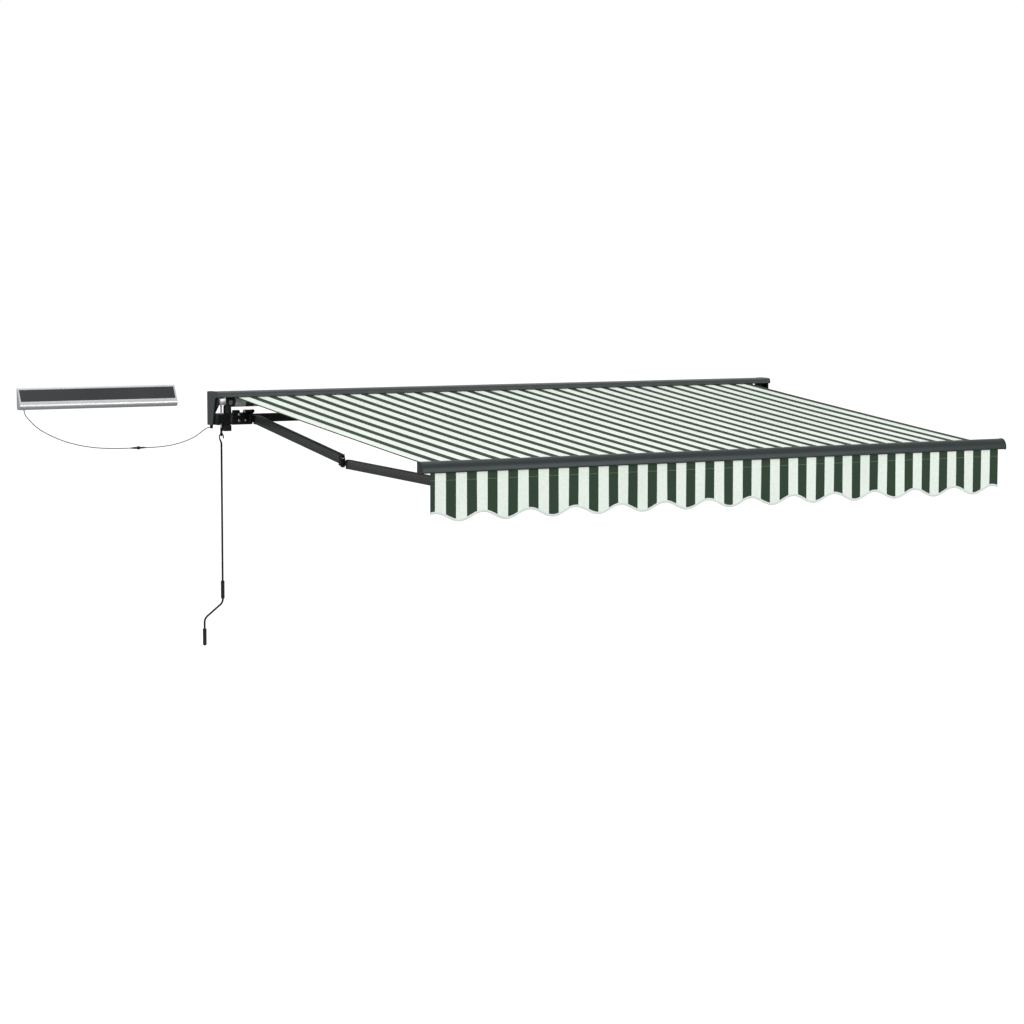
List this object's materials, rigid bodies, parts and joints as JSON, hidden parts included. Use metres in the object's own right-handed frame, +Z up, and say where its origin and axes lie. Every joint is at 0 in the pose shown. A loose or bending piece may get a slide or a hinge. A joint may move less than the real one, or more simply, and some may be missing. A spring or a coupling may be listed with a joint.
{
  "type": "folding-arm awning",
  "caption": "Retractable canvas awning on folding arms, with striped canopy, scalloped valance, hood, crank gear with hanging crank rod and a wired solar panel.",
  "frame": {"origin": "middle of the back face of the centre wall bracket, in the plane of the wall, at the height of the wall bar's middle", "axes": "+X to the right along the wall as seen from the street, +Y into the wall, +Z up; the awning extends along -Y"},
  "size_m": [5.24, 2.5155, 1.5551],
  "materials": {
    "anthracite": "powder-coated, satin",
    "black_paint": "powder-coated casting, satin",
    "arm_grey": "powder-coated, satin",
    "zinc": "plain metal",
    "steel": "plated",
    "black_plastic": "moulded, matt",
    "striped_cloth": "woven, dark green and white stripes",
    "silver": "anodised, satin",
    "solar_cells": "dark laminate, gloss",
    "grey_cable": "matt sheath"
  },
  "bodies": {
    "frame": {"wall_bar": "black_paint", "wall_bar_cap_left": "zinc", "wall_bar_cap_right": "zinc", "wall_bracket_centre": "black_paint", "side_bracket_left": "black_paint", "side_bracket_right": "black_paint", "hood": "anthracite", "hood_end_left": "anthracite", "hood_end_right": "anthracite", "gearbox": "zinc", "gearbox_cover": "black_plastic", "control_box": "black_plastic", "roller_bearing_right": "black_paint", "shoulder_bracket_left": "black_paint", "shoulder_bracket_right": "black_paint", "pitch_bolt_left": "steel", "pitch_bolt_right": "steel", "panel_frame": "silver", "panel_cells": "solar_cells", "panel_bracket": "zinc", "cable_panel_side": "grey_cable", "cable_awning_side": "grey_cable", "cable_connector": "black_plastic", "cable_gland": "black_plastic"},
    "roller": {"roller_tube": "zinc", "cloth_roll": "striped_cloth", "roller_plug_left": "black_plastic", "roller_plug_right": "black_plastic"},
    "crank_drive": {"input_shaft": "steel", "crank_eye": "black_paint"},
    "crank_rod": {"crank_rod": "black_paint"},
    "upper_grip": {"upper_grip": "black_plastic"},
    "lower_grip": {"lower_grip": "black_plastic"},
    "left_knuckle": {"shoulder_knuckle_left": "black_paint"},
    "left_inner_arm": {"inner_arm_heel_left": "black_paint", "inner_arm_left": "arm_grey", "arm_spring_left": "steel", "elbow_fork_left": "black_paint", "elbow_pin_left": "steel"},
    "left_outer_arm": {"elbow_tongue_left": "black_paint", "outer_arm_left": "arm_grey", "wrist_heel_left": "black_paint"},
    "right_knuckle": {"shoulder_knuckle_right": "black_paint"},
    "right_inner_arm": {"inner_arm_heel_right": "black_paint", "inner_arm_right": "arm_grey", "arm_spring_right": "steel", "elbow_fork_right": "black_paint", "elbow_pin_right": "steel"},
    "right_outer_arm": {"elbow_tongue_right": "black_paint", "outer_arm_right": "arm_grey", "wrist_heel_right": "black_paint"},
    "front_bar": {"front_bar": "anthracite", "front_bar_cap_left": "anthracite", "front_bar_cap_right": "anthracite", "arm_clamp_left": "black_paint", "arm_clamp_right": "black_paint", "wrist_pin_left": "steel", "wrist_pin_right": "steel", "canopy": "striped_cloth", "valance": "striped_cloth"}
  },
  "joints": [
    {"name": "eye_turn", "type": "hinge", "parent": "frame", "child": "crank_drive", "pos_m": [-1.962, -0.118, 0], "axis": [0, 0, 1], "range_deg": [0, 43200]},
    {"name": "rod_swing", "type": "hinge", "parent": "frame", "child": "upper_grip", "pos_m": [-1.962, -0.118, -0.0891], "axis": [-1, 0, 0], "range_deg": [-4, 60]},
    {"name": "crank_turn", "type": "hinge", "parent": "upper_grip", "child": "crank_rod", "pos_m": [-1.962, -0.118, -1.0191], "axis": [0, 0, 1], "range_deg": [0, 43200]},
    {"name": "lower_grip_spin", "type": "hinge", "parent": "crank_rod", "child": "lower_grip", "pos_m": [-2.082, -0.118, -1.2891], "axis": [0, 0, 1], "continuous": true},
    {"name": "roller_turn", "type": "hinge", "parent": "frame", "child": "roller", "pos_m": [0, -0.08, 0.1045], "axis": [-1, 0, 0], "range_deg": [0, 3927.3]},
    {"name": "left_pitch", "type": "hinge", "parent": "frame", "child": "left_knuckle", "pos_m": [-1.77, -0.101, 0.044], "axis": [-1, 0, 0], "range_deg": [0, 3], "deforming": ["canopy"]},
    {"name": "left_shoulder", "type": "hinge", "parent": "left_knuckle", "child": "left_inner_arm", "pos_m": [-1.77, -0.12, 0.003], "axis": [0, -0.1066, 0.9943], "range_deg": [0, 87.5], "deforming": ["canopy"]},
    {"name": "left_elbow", "type": "hinge", "parent": "left_inner_arm", "child": "left_outer_arm", "pos_m": [-1.74537, -1.289, -0.12234], "axis": [0, -0.1066, 0.9943], "range_deg": [-175, 0]},
    {"name": "left_wrist", "type": "hinge", "parent": "left_outer_arm", "child": "front_bar", "pos_m": [-1.77, -2.458, -0.24769], "axis": [0, -0.1066, 0.9943], "range_deg": [0, 87.5]},
    {"name": "right_pitch", "type": "hinge", "parent": "frame", "child": "right_knuckle", "pos_m": [1.77, -0.101, 0.044], "axis": [-1, 0, 0], "range_deg": [0, 3]},
    {"name": "right_shoulder", "type": "hinge", "parent": "right_knuckle", "child": "right_inner_arm", "pos_m": [1.77, -0.12, 0.003], "axis": [0, -0.1066, 0.9943], "range_deg": [-87.5, 0]},
    {"name": "right_elbow", "type": "hinge", "parent": "right_inner_arm", "child": "right_outer_arm", "pos_m": [1.74537, -1.289, -0.12234], "axis": [0, -0.1066, 0.9943], "range_deg": [0, 175]}
  ],
  "couplings": [
    {"joint": "crank_turn", "follows": "left_shoulder", "ratio": 493.71},
    {"joint": "eye_turn", "follows": "left_shoulder", "ratio": 493.71},
    {"joint": "roller_turn", "follows": "left_shoulder", "ratio": 44.883},
    {"joint": "left_elbow", "follows": "left_shoulder", "ratio": -2},
    {"joint": "left_wrist", "follows": "left_shoulder", "ratio": 1},
    {"joint": "right_shoulder", "follows": "left_shoulder", "ratio": -1},
    {"joint": "right_elbow", "follows": "left_shoulder", "ratio": 2},
    {"joint": "right_pitch", "follows": "left_pitch", "ratio": 1}
  ]
}
